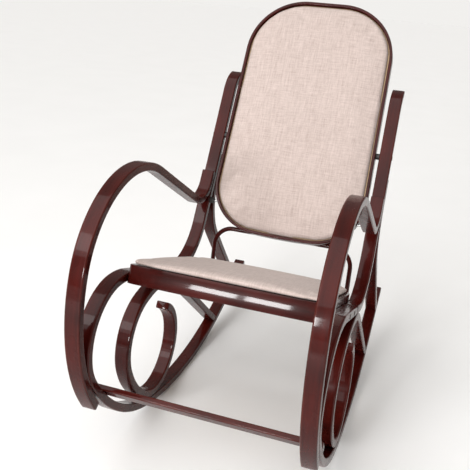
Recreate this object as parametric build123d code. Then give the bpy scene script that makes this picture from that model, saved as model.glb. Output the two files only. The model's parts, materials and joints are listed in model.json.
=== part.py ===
from build123d import *
import os
from math import cos, degrees, radians, sin, tan

os.makedirs("parts", exist_ok=True)

# Driving dimensions, millimetres and degrees. Side view: Y to the rear, Z up, headings from +Y towards +Z.
WIDTH = 500.0          # over the outer faces of the two side frames
STRIP_W = 33.0         # bent strip, across the chair
STRIP_T = 18.5         # bent strip, in the side view
EDGE_R = 3.0           # rounded long edges of the strips
FRAME_X = (WIDTH - STRIP_W) / 2
SIDES = (("left", -1), ("right", 1))

REST_TILT = -2.83        # turns the whole chair until its weight stands over the rocker contact
CENTRE_Y = 548.45        # side-view point that becomes the origin, after the tilt
FLOOR_Z = -28.12

# Each strip is its show-face line: start, heading, then (radius, turn) bends and (length,) straights.
ARM_START = (76.4, 155.9, 127.9)
ARM_SWEEP = [(367.7, -52.3), (231.6, -37.1), (235.4, -65.2)]
ARM_HEEL_R = 60.0      # small bend where the arm turns up against the upright
ARM_HEEL_RUN = 27.0

MAIN_START = (863.6, 812.4, 190.8)
UPRIGHT = [(81.1, 53.6), (385.5,), (148.9, -81.1), (70.0,)]
ROCKER = [(168.0,), (212.3, 20.2), (130.0, 120.5), (474.5, 44.9), (888.8, 32.9), (226.4,)]

SCROLL_TOUCH = (445.6, 327.3, 163.3)     # where the scroll meets the underside of the seat run
SCROLL_FRONT = [(253.0, 35.1), (120.9, 95.9), (246.1, 34.8), (117.4, 186.1)]
SCROLL_REAR_R = 150.0
SCROLL_REAR_TURN = 20.2
SCROLL_REAR_RUN = 404.0

LEG_HUG = 60.0         # length of leg lying flat on the back of the upright
LEG_TOP = 196.0        # from the foot of the straight upright up to the leg's top end
LEG_MOVES = [(LEG_HUG,), (168.0, 70.6), (324.0,)]

SEAT_FRONT = (189.0, 441.0)
SEAT_SLOPE = 16.7
SEAT_HALF = 217.0
SEAT_DEPTH = 396.0
SEAT_BOW = 7.5
RING_H = 40.0
RING_WALL = 20.0
RING_LEDGE = 8.0
SEAT_BOARD_T = 12.0
SEAT_PAD_T = 22.0
BOLT_DROP = 25.9       # seat bolts below the top of the ring, the middle of the strip

BACK_LEAN = 25.0
BACK_REF = (639.0, 420.0)
BACK_PROUD = 7.6       # front of the panel ahead of the front of the upright
BACK_HALF_TOP = 204.4
BACK_HALF_BOTTOM = 209.4
BACK_TOP = 666.0
BACK_BOTTOM = -4.0
BACK_BOW = 10.8
BACK_DEPTH = 34.0
RIM_WALL = 8.0
RIM_LEDGE = 8.0
BACK_BOARD_T = 13.0
BACK_BOARD_Z = -25.0   # rear face of the board below the front of the rim
BACK_PAD_FRONT = 12.0
BOLT_HEIGHTS = (60.0, 250.0)

STRETCHER_T = 12.0
STRETCHER_W = 32.0
BRACE_R = 6.0
BRACE_X = 190.0


def advance(y, z, heading, move):
    """Follow one straight or bend and return the end point, the new heading and a point on the way."""
    if len(move) == 1:
        reach = move[0]
        end = (y + reach * cos(radians(heading)), z + reach * sin(radians(heading)))
        return end, heading, None
    radius, turn = move
    hand = 1 if turn > 0 else -1
    points = []
    for share in (0.5, 1.0):
        chord = 2 * radius * sin(radians(abs(turn) * share / 2))
        angle = radians(heading + hand * abs(turn) * share / 2)
        points.append((y + chord * cos(angle), z + chord * sin(angle)))
    return points[1], heading + turn, points[0]


def shifted(start, offset):
    """Move a start point sideways, positive to the left of its heading."""
    y, z, heading = start
    side = radians(heading + 90)
    return (y + offset * cos(side), z + offset * sin(side), heading)


def inset_moves(moves, offset):
    """Change the radii of the bends for a line running offset to the left."""
    result = []
    for move in moves:
        if len(move) == 1:
            result.append(move)
        else:
            radius, turn = move
            result.append((radius - offset if turn > 0 else radius + offset, turn))
    return result


def line_wire(start, moves):
    """Wire in the side view through all the moves."""
    y, z, heading = start
    edges = []
    for move in moves:
        end, new_heading, middle = advance(y, z, heading, move)
        if middle is None:
            edges.append(Edge.make_line((0, y, z), (0, end[0], end[1])))
        else:
            edges.append(Edge.make_three_point_arc((0, y, z), (0, middle[0], middle[1]), (0, end[0], end[1])))
        (y, z), heading = end, new_heading
    return Wire(edges)


def strip(start, moves, side, edge=EDGE_R, width=STRIP_W):
    """Bent strip whose show face follows the moves and whose body lies to the left (1) or right (-1)."""
    offset = side * STRIP_T / 2
    path = line_wire(shifted(start, offset), inset_moves(moves, offset))
    plane = Plane(origin=path @ 0, x_dir=(1, 0, 0), z_dir=path % 0)
    if edge > 0:
        profile = RectangleRounded(width, STRIP_T, edge)
    else:
        profile = Rectangle(width, STRIP_T)
    return sweep(plane * profile, path=path)


def spot(start, moves, distance):
    """Point and heading on a show-face line after a distance."""
    y, z, heading = start
    for move in moves:
        length = move[0] if len(move) == 1 else radians(abs(move[1])) * move[0]
        if distance <= length:
            if len(move) == 1:
                part = (distance,)
            else:
                part = (move[0], move[1] * distance / length)
            end, heading, _ = advance(y, z, heading, part)
            return end[0], end[1], heading
        end, heading, _ = advance(y, z, heading, move)
        y, z = end
        distance -= length
    return y, z, heading


def end_of(start, moves):
    """Point and heading at the end of a run of moves."""
    y, z, heading = start
    for move in moves:
        end, heading, _ = advance(y, z, heading, move)
        y, z = end
    return y, z, heading


def aim(x, y, z, heading):
    """Plane at a side-view point whose normal points along a heading."""
    return Plane(origin=(x, y, z), x_dir=(1, 0, 0), z_dir=(0, cos(radians(heading)), sin(radians(heading))))


def across(x, y, z, way):
    """Plane at a side-view point whose normal points across the chair."""
    return Plane(origin=(x, y, z), x_dir=(0, 1, 0), z_dir=(way, 0, 0))


def screw(length, radius=2.5, head_r=4.6, head_h=3.0):
    """Countersunk screw pointing down -Z with its head flush at the origin and a cross slot."""
    body = Cylinder(radius, length - head_h, align=(Align.CENTER, Align.CENTER, Align.MAX))
    body = Pos(0, 0, -head_h) * body
    head = Cone(radius, head_r, head_h, align=(Align.CENTER, Align.CENTER, Align.MAX))
    slots = Box(1.1 * head_r, 0.24 * head_r, 0.8 * head_h) + Box(0.24 * head_r, 1.1 * head_r, 0.8 * head_h)
    return body + head - slots


def screw_hole(length, radius=2.5, head_r=4.6, head_h=3.0):
    """The room a screw takes up."""
    body = Pos(0, 0, -head_h) * Cylinder(radius, length - head_h, align=(Align.CENTER, Align.CENTER, Align.MAX))
    return body + Cone(radius, head_r, head_h, align=(Align.CENTER, Align.CENTER, Align.MAX))


def bolt(length):
    """Socket-head bolt pointing down -Z with the underside of its head at the origin."""
    shank = Cylinder(3.0, length, align=(Align.CENTER, Align.CENTER, Align.MAX))
    head = Cylinder(5.4, 6.0, align=(Align.CENTER, Align.CENTER, Align.MIN))
    socket = extrude(Pos(0, 0, 2.5) * RegularPolygon(2.9, 6), 4)
    return shank + head - socket


def insert():
    """Threaded insert running down -Z from the origin."""
    shell = Cylinder(4.5, 16, align=(Align.CENTER, Align.CENTER, Align.MAX))
    return shell - Cylinder(3.0, 16, align=(Align.CENTER, Align.CENTER, Align.MAX))


def cap():
    """Push-in cover, outer face at the origin."""
    disc = Cylinder(6.0, 3.0, align=(Align.CENTER, Align.CENTER, Align.MAX))
    return chamfer(disc.faces().sort_by(Axis.Z)[-1].edges(), 0.6)


SEAT = Plane(
    origin=(0, SEAT_FRONT[0], SEAT_FRONT[1]),
    x_dir=(1, 0, 0),
    z_dir=(0, sin(radians(SEAT_SLOPE)), cos(radians(SEAT_SLOPE))),
)
LEAN = radians(BACK_LEAN)
BACK = Plane(
    origin=(0, BACK_REF[0] - BACK_PROUD * cos(LEAN), BACK_REF[1] + BACK_PROUD * sin(LEAN)),
    x_dir=(1, 0, 0),
    z_dir=(0, -cos(LEAN), sin(LEAN)),
)


def seat_outline(inset):
    """Face of the seat ring's outline, front edge bowed forwards, in the seat plane."""
    half = SEAT_HALF
    front = ThreePointArc((-half, 0), (0, -SEAT_BOW), (half, 0))
    right = Line((half, 0), (half, SEAT_DEPTH))
    rear = ThreePointArc((half, SEAT_DEPTH), (0, SEAT_DEPTH + 6), (-half, SEAT_DEPTH))
    left = Line((-half, SEAT_DEPTH), (-half, 0))
    face = make_face([front, right, rear, left])
    corners = face.vertices().sort_by(Axis.Y)
    face = fillet(corners[:2], 16)
    corners = face.vertices().sort_by(Axis.Y)[-2:]
    face = fillet(corners, 78)
    if inset > 0:
        face = offset(face, -inset)
    return face


def back_outline(inset):
    """Face of the back panel's outline in the plane of its front."""
    base = ThreePointArc(
        (-BACK_HALF_BOTTOM, BACK_BOTTOM), (0, BACK_BOTTOM - BACK_BOW), (BACK_HALF_BOTTOM, BACK_BOTTOM)
    )
    right = Line((BACK_HALF_BOTTOM, BACK_BOTTOM), (BACK_HALF_TOP, BACK_TOP))
    top = Line((BACK_HALF_TOP, BACK_TOP), (-BACK_HALF_TOP, BACK_TOP))
    left = Line((-BACK_HALF_TOP, BACK_TOP), (-BACK_HALF_BOTTOM, BACK_BOTTOM))
    face = make_face([base, right, top, left])
    lower = face.vertices().sort_by(Axis.Y)[:2]
    face = fillet(lower, 128)
    upper = face.vertices().sort_by(Axis.Y)[-2:]
    face = fillet(upper, 155)
    if inset > 0:
        face = offset(face, -inset)
    return face


def slab(plane, face, low, high):
    """Solid of an outline between two heights above its plane."""
    return plane * extrude(Pos(0, 0, low) * face, high - low)


def rest(shape):
    """Carry a shape from the side-view layout to the resting pose about the origin."""
    return Pos(0, -CENTRE_Y, -FLOOR_Z) * Rot(REST_TILT, 0, 0) * shape


def save(name, shapes):
    """Write one node, a single solid or a group."""
    if not isinstance(shapes, list):
        shapes = [shapes]
    solids = []
    for shape in shapes:
        solids.extend(rest(shape).solids())
    if len(solids) == 1:
        export_step(solids[0], f"parts/{name}.step")
    else:
        export_step(Compound(children=solids), f"parts/{name}.step")


def drilled(body, tools):
    """Body less each tool in turn."""
    for tool in tools:
        body = body - tool
    return body


def arm_moves():
    """Arm run with the heel bend that brings its end flat against the upright."""
    y, z, heading = end_of(ARM_START, ARM_SWEEP)
    post_y, post_z, post_heading = end_of(MAIN_START, UPRIGHT[:2])
    post_y += STRIP_T * cos(radians(post_heading - 90))
    post_z += STRIP_T * sin(radians(post_heading - 90))
    along = (cos(radians(heading)), sin(radians(heading)))
    up = (cos(radians(post_heading)), sin(radians(post_heading)))
    cross = along[0] * up[1] - along[1] * up[0]
    reach = ((post_y - y) * up[1] - (post_z - z) * up[0]) / cross
    turn = post_heading - 180 - heading
    reach -= ARM_HEEL_R * tan(radians(turn) / 2)
    return ARM_SWEEP + [(reach,), (ARM_HEEL_R, turn), (ARM_HEEL_RUN,)]


def leg_start():
    """Top end of the rear leg's front face, on the back of the upright."""
    y, z, heading = end_of(MAIN_START, UPRIGHT[:2])
    y -= LEG_TOP * cos(radians(heading))
    z -= LEG_TOP * sin(radians(heading))
    return shifted((y, z, heading), STRIP_T)


def scroll_line():
    """Start and moves of the whole scroll strip, from its foot on the tail to the end of the spiral."""
    y, z, heading = SCROLL_TOUCH
    chord = 2 * SCROLL_REAR_R * sin(radians(SCROLL_REAR_TURN / 2))
    angle = radians(heading - SCROLL_REAR_TURN / 2)
    y -= chord * cos(angle)
    z -= chord * sin(angle)
    heading -= SCROLL_REAR_TURN
    y -= SCROLL_REAR_RUN * cos(radians(heading))
    z -= SCROLL_REAR_RUN * sin(radians(heading))
    moves = [(SCROLL_REAR_RUN,), (SCROLL_REAR_R, SCROLL_REAR_TURN)] + SCROLL_FRONT
    return (y, z, heading), moves


ROCKER_START = end_of(MAIN_START, UPRIGHT)
MAIN = UPRIGHT + ROCKER
# Distances along the main line to fastening places.
AT_JOINT = 742.1
AT_ARM_FOOT = (1229.0, 1253.0)
AT_STRETCHER = 1325.0
AT_SCROLL_TOP = 683.0
AT_SCROLL_BOTTOM = 1621.0
AT_SCROLL_FOOT = 2073.0
AT_LEG_FOOT = 2262.0


def normal_plane(x, line, distance, depth, flip):
    """Plane on a strip at a distance along it, normal pointing out of the show face or (flip) into it."""
    y, z, heading = spot(line[0], line[1], distance)
    y, z, heading = shifted((y, z, heading), depth)
    return aim(x, y, z, heading + (90 if flip else -90))


def frame_screws(x):
    """Screw places of one side frame as lists of (plane, length)."""
    main = (MAIN_START, MAIN)
    arm_end = (ARM_START, arm_moves())
    heel = end_of(*arm_end)
    places = {}
    places["arm_foot_screws"] = [
        (normal_plane(x + shift, main, distance, STRIP_T, True), 30)
        for distance, shift in zip(AT_ARM_FOOT, (-7, 7))
    ]
    heel_y, heel_z, heel_heading = shifted((heel[0], heel[1], heel[2]), -2 * STRIP_T)
    heel_y -= 12 * cos(radians(heel_heading))
    heel_z -= 12 * sin(radians(heel_heading))
    places["arm_end_screws"] = [(aim(x + shift, heel_y, heel_z, heel_heading - 90), 31) for shift in (-8, 8)]
    leg_y, leg_z, leg_heading = leg_start()
    places["rear_leg_screws"] = []
    for step, shift in ((14, -7), (42, 7)):
        y = leg_y + step * cos(radians(leg_heading))
        z = leg_z + step * sin(radians(leg_heading))
        y, z, _ = shifted((y, z, leg_heading), STRIP_T)
        places["rear_leg_screws"].append((aim(x + shift, y, z, leg_heading + 90), 31))
    places["scroll_screws"] = [
        (normal_plane(x, main, AT_SCROLL_TOP, 2 * STRIP_T + 0.1, True), 31),
        (normal_plane(x, main, AT_SCROLL_BOTTOM, 2 * STRIP_T + 0.1, True), 31),
    ]
    places["foot_screws"] = [
        (normal_plane(x, main, AT_SCROLL_FOOT, 0, False), 30),
        (normal_plane(x, main, AT_LEG_FOOT, 0, False), 38),
    ]
    places["stretcher_screws"] = [
        (normal_plane(x, main, AT_STRETCHER, STRIP_T + STRETCHER_T - 0.6, True), 24),
    ]
    return places


def seat_bolt_planes(sign):
    """Outer faces of the frame at the two seat bolts of one side."""
    planes = []
    for reach in (100.0, 180.0):
        y = SEAT_FRONT[0] + reach * cos(radians(SEAT_SLOPE)) - BOLT_DROP * sin(radians(SEAT_SLOPE))
        z = SEAT_FRONT[1] - reach * sin(radians(SEAT_SLOPE)) - BOLT_DROP * cos(radians(SEAT_SLOPE))
        planes.append(across(sign * WIDTH / 2, y, z, sign))
    return planes


def back_bolt_planes(sign):
    """Outer faces of the frame at the two back bolts of one side."""
    foot_y, foot_z, heading = end_of(MAIN_START, UPRIGHT[:2])
    planes = []
    for height in BOLT_HEIGHTS:
        y, z, _ = shifted((foot_y, foot_z, heading), STRIP_T / 2)
        y -= height * cos(radians(heading))
        z -= height * sin(radians(heading))
        planes.append(across(sign * WIDTH / 2, y, z, sign))
    return planes


def bolt_room(plane, length):
    """Cap, head and shank bore of a side bolt."""
    cap_bore = Cylinder(6.0, 9.0, align=(Align.CENTER, Align.CENTER, Align.MAX))
    shank = Pos(0, 0, -9) * Cylinder(3.0, length, align=(Align.CENTER, Align.CENTER, Align.MAX))
    return plane * (cap_bore + shank)


def dowel_places(x):
    """Ends of the dowels joining upright strip and rocker strip."""
    y, z, heading = shifted(ROCKER_START, STRIP_T / 2)
    return [aim(x + shift, y, z, heading) for shift in (-8, 8)]


def brace_path():
    """Bent rod: foot under the seat, leg, top bar behind the back panel, and mirrored."""
    seat_low = -RING_H - BRACE_R
    foot = SEAT.from_local_coords((0, 330, seat_low))
    heel = SEAT.from_local_coords((0, 496, seat_low))
    top = BACK.from_local_coords((0, -5.5, -BACK_DEPTH - BRACE_R))
    corners = [
        Vector(-BRACE_X, foot.Y, foot.Z),
        Vector(-BRACE_X, heel.Y, heel.Z),
        Vector(-BRACE_X, top.Y, top.Z),
        Vector(BRACE_X, top.Y, top.Z),
        Vector(BRACE_X, heel.Y, heel.Z),
        Vector(BRACE_X, foot.Y, foot.Z),
    ]
    radii = (30.0, 50.0, 50.0, 30.0)
    edges = []
    here = corners[0]
    for before, corner, after, radius in zip(corners, corners[1:], corners[2:], radii):
        into = (corner - before).normalized()
        out = (after - corner).normalized()
        half = radians(into.get_angle(out)) / 2
        start = corner - into * (radius * tan(half))
        end = corner + out * (radius * tan(half))
        centre = corner + (out - into).normalized() * (radius / cos(half))
        middle = centre - (out - into).normalized() * radius
        edges.append(Edge.make_line(here, start))
        edges.append(Edge.make_three_point_arc(start, middle, end))
        here = end
    edges.append(Edge.make_line(here, corners[-1]))
    return Wire(edges)


def brace_screw_places():
    """Screws up into the rear of the ring and forwards into the panel rim, heads on the rod."""
    places = []
    for sign in (-1, 1):
        low = SEAT.from_local_coords((sign * BRACE_X, 367, -RING_H - 2 * BRACE_R + 1.0))
        places.append((Plane(origin=low, x_dir=(1, 0, 0), z_dir=-SEAT.z_dir), 36))
        rear = BACK.from_local_coords((sign * 55, -5.5, -BACK_DEPTH - 2 * BRACE_R + 1.0))
        places.append((Plane(origin=rear, x_dir=(1, 0, 0), z_dir=-BACK.z_dir), 28))
    return places


def build():
    """Model every node and write it."""
    groups = {}
    sharp_main = strip(MAIN_START, MAIN, 1, edge=0, width=STRIP_W + 2)
    arm = arm_moves()
    scroll_start, scroll_moves = scroll_line()
    frames = {}
    stretcher_y, stretcher_z, stretcher_heading = spot(MAIN_START, MAIN, AT_STRETCHER)
    stretcher_spot = shifted(
        (stretcher_y, stretcher_z, stretcher_heading), STRIP_T + STRETCHER_T / 2 - 0.6
    )
    stretcher = aim(0, *stretcher_spot) * Box(WIDTH, STRETCHER_T, STRETCHER_W)
    stretcher = fillet(stretcher.edges().filter_by(Axis.X), 3)
    for name, sign in SIDES:
        x = sign * FRAME_X
        screws = frame_screws(x)
        room = []
        for key, places in screws.items():
            for plane, length in places:
                groups.setdefault(key, []).append(plane * screw(length))
                room.append(plane * screw_hole(length))
        for plane in dowel_places(x):
            groups.setdefault("frame_dowels", []).append(plane * Cylinder(3.0, 44))
            room.append(plane * Cylinder(3.0, 46))
        for plane in seat_bolt_planes(sign):
            groups.setdefault("seat_bolts", []).append(plane * Pos(0, 0, -9) * bolt(42))
            groups.setdefault("seat_inserts", []).append(
                across(sign * SEAT_HALF, plane.origin.Y, plane.origin.Z, sign) * insert()
            )
            groups.setdefault("bolt_caps", []).append(plane * cap())
            room.append(bolt_room(plane, 42))
        for plane in back_bolt_planes(sign):
            groups.setdefault("back_bolts", []).append(plane * Pos(0, 0, -9) * bolt(58))
            groups.setdefault("bolt_caps", []).append(plane * cap())
            room.append(bolt_room(plane, 58))
        move = Pos(x, 0, 0)
        keep = move * sharp_main
        pieces = {
            "arm_strip": move * strip(ARM_START, arm, -1),
            "upright_strip": move * strip(MAIN_START, UPRIGHT, 1),
            "rocker_strip": move * strip(ROCKER_START, ROCKER, 1),
            "scroll_strip": move * strip(scroll_start, scroll_moves, 1) - keep,
            "rear_leg_strip": move * strip(leg_start(), LEG_MOVES, 1) - keep,
        }
        stretcher = stretcher - keep
        for plane, _ in screws["stretcher_screws"]:
            stretcher = stretcher - plane * screw_hole(24)
        for key, body in pieces.items():
            frames[f"{name}_{key}"] = drilled(body, room)
    for name, body in frames.items():
        save(name, body)
    save("front_stretcher", stretcher)
    return groups


def build_seat(groups):
    """Seat ring, board, pad and their screws."""
    ring = slab(SEAT, seat_outline(0), -RING_H, 0) - slab(SEAT, seat_outline(RING_WALL), -RING_H, 0)
    ring = ring - slab(SEAT, seat_outline(RING_WALL - RING_LEDGE), -SEAT_BOARD_T, 0)
    board = slab(SEAT, seat_outline(RING_WALL - RING_LEDGE), -SEAT_BOARD_T, 0)
    pad = slab(SEAT, seat_outline(2.0), 0.2, SEAT_PAD_T)
    top = pad.faces().sort_by(Axis(SEAT.origin, SEAT.z_dir))[-1]
    pad = fillet(top.edges(), 13)
    for sign in (-1, 1):
        for reach in (70, 190, 290):
            spot_at = SEAT.from_local_coords((sign * (SEAT_HALF - RING_WALL + 4), reach, 0))
            plane = Plane(origin=spot_at, x_dir=(1, 0, 0), z_dir=SEAT.z_dir)
            groups.setdefault("seat_board_screws", []).append(plane * screw(26, 1.8, 3.4, 2.2))
            board = board - plane * screw_hole(26, 1.8, 3.4, 2.2)
            ring = ring - plane * screw_hole(26, 1.8, 3.4, 2.2)
        for plane in seat_bolt_planes(sign):
            room = across(sign * SEAT_HALF, plane.origin.Y, plane.origin.Z, sign)
            bore = Cylinder(4.5, 16, align=(Align.CENTER, Align.CENTER, Align.MAX))
            tail = Cylinder(3.0, 19, align=(Align.CENTER, Align.CENTER, Align.MAX))
            ring = ring - room * (bore + tail)
    for plane, length in brace_screw_places():
        ring = ring - plane * screw_hole(length)
    save("seat_ring", ring)
    save("seat_board", board)
    save("seat_pad", pad)


def build_back(groups):
    """Back rim, board, pad, lining, spacers and their screws."""
    rim = slab(BACK, back_outline(0), -BACK_DEPTH, 0) - slab(BACK, back_outline(RIM_WALL), BACK_BOARD_Z, 0)
    rim = rim - slab(BACK, back_outline(RIM_WALL + RIM_LEDGE), -BACK_DEPTH, BACK_BOARD_Z)
    board = slab(BACK, back_outline(RIM_WALL), BACK_BOARD_Z, BACK_BOARD_Z + BACK_BOARD_T)
    pad = slab(BACK, back_outline(RIM_WALL + 0.6), BACK_BOARD_Z + BACK_BOARD_T + 0.2, BACK_PAD_FRONT)
    front = pad.faces().sort_by(Axis(BACK.origin, BACK.z_dir))[-1]
    pad = fillet(front.edges(), 11)
    lining = slab(BACK, back_outline(RIM_WALL + RIM_LEDGE + 0.5), BACK_BOARD_Z - 3.0, BACK_BOARD_Z)
    ledge = RIM_WALL + RIM_LEDGE / 2
    for sign in (-1, 1):
        for height in (170, 285, 400):
            half = BACK_HALF_BOTTOM + (BACK_HALF_TOP - BACK_HALF_BOTTOM) * height / BACK_TOP
            rear = BACK.from_local_coords((sign * (half - ledge), height, -BACK_DEPTH))
            plane = Plane(origin=rear, x_dir=(1, 0, 0), z_dir=-BACK.z_dir)
            groups.setdefault("back_board_screws", []).append(plane * screw(19, 1.6, 3.0, 2.0))
            board = board - plane * screw_hole(19, 1.6, 3.0, 2.0)
            rim = rim - plane * screw_hole(19, 1.6, 3.0, 2.0)
        for plane in back_bolt_planes(sign):
            local = BACK.to_local_coords(plane.origin)
            half = BACK_HALF_BOTTOM + (BACK_HALF_TOP - BACK_HALF_BOTTOM) * (local.Y - BACK_BOTTOM) / (
                BACK_TOP - BACK_BOTTOM
            )
            side = across(sign * (half - RIM_WALL), plane.origin.Y, plane.origin.Z, sign)
            bore = Cylinder(4.5, 16, align=(Align.CENTER, Align.CENTER, Align.MAX))
            shank = Cylinder(3.0, 67.5, align=(Align.CENTER, Align.CENTER, Align.MAX))
            board = board - side * bore - plane * shank
            rim = rim - plane * shank
            groups.setdefault("back_inserts", []).append(side * insert() & board_zone())
            gap_x = SEAT_HALF - half
            tube = Cylinder(8.0, gap_x + 4, align=(Align.CENTER, Align.CENTER, Align.MAX))
            tube = tube - Cylinder(3.0, gap_x + 4, align=(Align.CENTER, Align.CENTER, Align.MAX))
            tube = across(sign * SEAT_HALF, plane.origin.Y, plane.origin.Z, sign) * tube
            tube = tube - slab(BACK, back_outline(0), -BACK_DEPTH, 0)
            groups.setdefault("back_spacers", []).append(tube)
    for plane, length in brace_screw_places():
        rim = rim - plane * screw_hole(length)
        board = board - plane * screw_hole(length)
    save("back_rim", rim)
    save("back_board", board)
    save("back_pad", pad)
    save("back_lining", lining)


def board_zone():
    """Slab that the back board fills, so inserts end flush with its edge."""
    return slab(BACK, back_outline(RIM_WALL), BACK_BOARD_Z, BACK_BOARD_Z + BACK_BOARD_T)


def build_brace(groups):
    """Bent rod behind the seat with its screws."""
    path = brace_path()
    brace = sweep(Plane(origin=path @ 0, z_dir=path % 0) * Circle(BRACE_R), path=path)
    for plane, length in brace_screw_places():
        groups.setdefault("brace_screws", []).append(plane * screw(length))
        brace = brace - plane * (screw_hole(length) + Cylinder(4.6, 3, align=(Align.CENTER, Align.CENTER, Align.MIN)))
    save("seat_brace", brace)


fasteners = build()
build_seat(fasteners)
build_back(fasteners)
build_brace(fasteners)
for node, solids in fasteners.items():
    save(node, solids)
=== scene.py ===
import json
import logging
import math
from dataclasses import dataclass, field
from enum import Enum
from typing import Any, Iterable, Optional, Sequence, Union

import bmesh
import bpy
from mathutils import Matrix, Vector


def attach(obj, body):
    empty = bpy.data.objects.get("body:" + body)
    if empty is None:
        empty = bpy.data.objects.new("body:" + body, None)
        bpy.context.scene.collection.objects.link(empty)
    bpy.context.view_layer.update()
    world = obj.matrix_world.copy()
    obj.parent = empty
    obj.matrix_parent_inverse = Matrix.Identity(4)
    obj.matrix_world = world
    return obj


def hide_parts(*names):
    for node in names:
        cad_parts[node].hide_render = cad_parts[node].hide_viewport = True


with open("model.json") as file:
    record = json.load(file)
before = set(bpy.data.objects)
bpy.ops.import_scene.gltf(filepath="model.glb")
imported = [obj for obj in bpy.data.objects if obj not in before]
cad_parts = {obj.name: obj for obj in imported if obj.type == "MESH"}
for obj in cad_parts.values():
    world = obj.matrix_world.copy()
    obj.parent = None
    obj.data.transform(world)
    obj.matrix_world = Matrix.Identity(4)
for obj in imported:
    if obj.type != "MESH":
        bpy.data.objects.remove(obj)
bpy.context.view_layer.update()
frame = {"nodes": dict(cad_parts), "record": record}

log = logging.getLogger("rocking_chair")
logging.basicConfig(level=logging.INFO, format="%(name)s: %(message)s")

Colour = tuple[float, float, float]
Point = tuple[float, float, float]
State = tuple[float, float, float]  # Y, Z and heading in degrees, in the side view
Move = tuple[float, ...]  # (length,) of a straight, or (radius, turn in degrees) of a bend

X_AXIS = Vector((1.0, 0.0, 0.0))
MM = 0.001
CREASE = 60.0


class Pattern(Enum):
    """Where a finish takes its pattern coordinates from."""

    ALONG = "grain"
    SPACE = "object"


# ---------------------------------------------------------------- shader tools


class Sock:
    """A shader output that adds Math nodes when it is used in an expression."""

    def __init__(self, bench: "Bench", socket: bpy.types.NodeSocket) -> None:
        """Keep the node tree and the output it stands for."""
        self.bench = bench
        self.socket = socket

    def _math(self, operation: str, first: Any, second: Any) -> "Sock":
        """Add one Math node.

        Args:
            operation: Blender's name for the sum.
            first: Left value, a number or a Sock.
            second: Right value, a number or a Sock.

        Returns:
            The node's result.
        """
        return self.bench.node("ShaderNodeMath", {"operation": operation}, {0: first, 1: second})

    def __add__(self, other: Any) -> "Sock":
        """Sum of the two."""
        return self._math("ADD", self, other)

    def __radd__(self, other: Any) -> "Sock":
        """Sum of the two."""
        return self._math("ADD", other, self)

    def __sub__(self, other: Any) -> "Sock":
        """Difference of the two."""
        return self._math("SUBTRACT", self, other)

    def __rsub__(self, other: Any) -> "Sock":
        """Difference of the two."""
        return self._math("SUBTRACT", other, self)

    def __mul__(self, other: Any) -> "Sock":
        """Product of the two."""
        return self._math("MULTIPLY", self, other)

    def __rmul__(self, other: Any) -> "Sock":
        """Product of the two."""
        return self._math("MULTIPLY", other, self)

    def clamped(self) -> "Sock":
        """Value held between 0 and 1."""
        return self.bench.node("ShaderNodeClamp", {}, {"Value": self})


class Bench:
    """One material's node tree and the method that adds to it."""

    def __init__(self, name: str) -> None:
        """Start an empty material with a Principled shader.

        Args:
            name: Name of the finish.
        """
        self.material = bpy.data.materials.new(name)
        self.material.use_nodes = True
        self.tree = self.material.node_tree
        self.tree.nodes.clear()
        self.output = self.tree.nodes.new("ShaderNodeOutputMaterial")
        self.shader = self.tree.nodes.new("ShaderNodeBsdfPrincipled")
        self.tree.links.new(self.shader.outputs["BSDF"], self.output.inputs["Surface"])

    def node(
        self,
        kind: str,
        settings: dict[str, Any],
        inputs: dict[Union[int, str], Any],
        out: Union[int, str] = 0,
    ) -> Sock:
        """Add a node, set it up and join its inputs.

        Args:
            kind: Blender's node type.
            settings: Properties of the node; "stops" fills a colour ramp.
            inputs: Value or Sock for each input socket.
            out: Output socket wanted.

        Returns:
            The wanted output.
        """
        made = self.tree.nodes.new(kind)
        for key, value in settings.items():
            if key == "stops":
                ramp = made.color_ramp
                while len(ramp.elements) < len(value):
                    ramp.elements.new(0.5)
                for element, (place, colour) in zip(ramp.elements, value):
                    element.position = place
                    element.color = (*colour, 1.0)
            else:
                setattr(made, key, value)
        for key, value in inputs.items():
            self.feed(made.inputs[key], value)
        return Sock(self, made.outputs[out])

    def feed(self, socket: bpy.types.NodeSocket, value: Any) -> None:
        """Link a Sock into an input, or set its value.

        Args:
            socket: Input to fill.
            value: Sock, number, vector or colour.
        """
        if isinstance(value, Sock):
            self.tree.links.new(value.socket, socket)
        elif isinstance(value, tuple) and len(value) == 3 and socket.type == "RGBA":
            socket.default_value = (*value, 1.0)
        else:
            socket.default_value = value

    def set(self, **values: Any) -> None:
        """Feed the Principled shader's inputs; underscores stand for spaces."""
        for key, value in values.items():
            self.feed(self.shader.inputs[key.replace("_", " ")], value)

    def coordinates(self, pattern: Pattern, turn: float, stretch: Point) -> Sock:
        """Pattern coordinates, turned about X and stretched.

        Args:
            pattern: Along the strip, or in space.
            turn: Turn about X in radians.
            stretch: Scale on each axis.

        Returns:
            A vector output.
        """
        if pattern is Pattern.ALONG:
            layer = {"attribute_name": pattern.value}
            source = self.node("ShaderNodeAttribute", layer, {}, "Vector")
        else:
            source = self.node("ShaderNodeTexCoord", {}, {}, "Object")
        if turn:
            spin = {"Vector": source, "Rotation": (turn, 0.0, 0.0)}
            source = self.node("ShaderNodeMapping", {}, spin)
        return self.node("ShaderNodeMapping", {}, {"Vector": source, "Scale": stretch})

    def noise(self, vector: Sock, detail: float, rough: float = 0.55) -> Sock:
        """Noise value between 0 and 1."""
        inputs = {"Vector": vector, "Scale": 1.0, "Detail": detail, "Roughness": rough}
        return self.node("ShaderNodeTexNoise", {}, inputs, "Fac")

    def blend(self, factor: Sock, low: Union[Colour, Sock], high: Union[Colour, Sock]) -> Sock:
        """Colour between two, by a factor."""
        return self.node("ShaderNodeMix", {"data_type": "RGBA"}, {0: factor, 6: low, 7: high}, 2)

    def bump(self, height: Sock, strength: float, distance: float) -> Sock:
        """Normal raised by a height."""
        inputs = {"Height": height, "Strength": strength, "Distance": distance}
        return self.node("ShaderNodeBump", {}, inputs)


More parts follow.
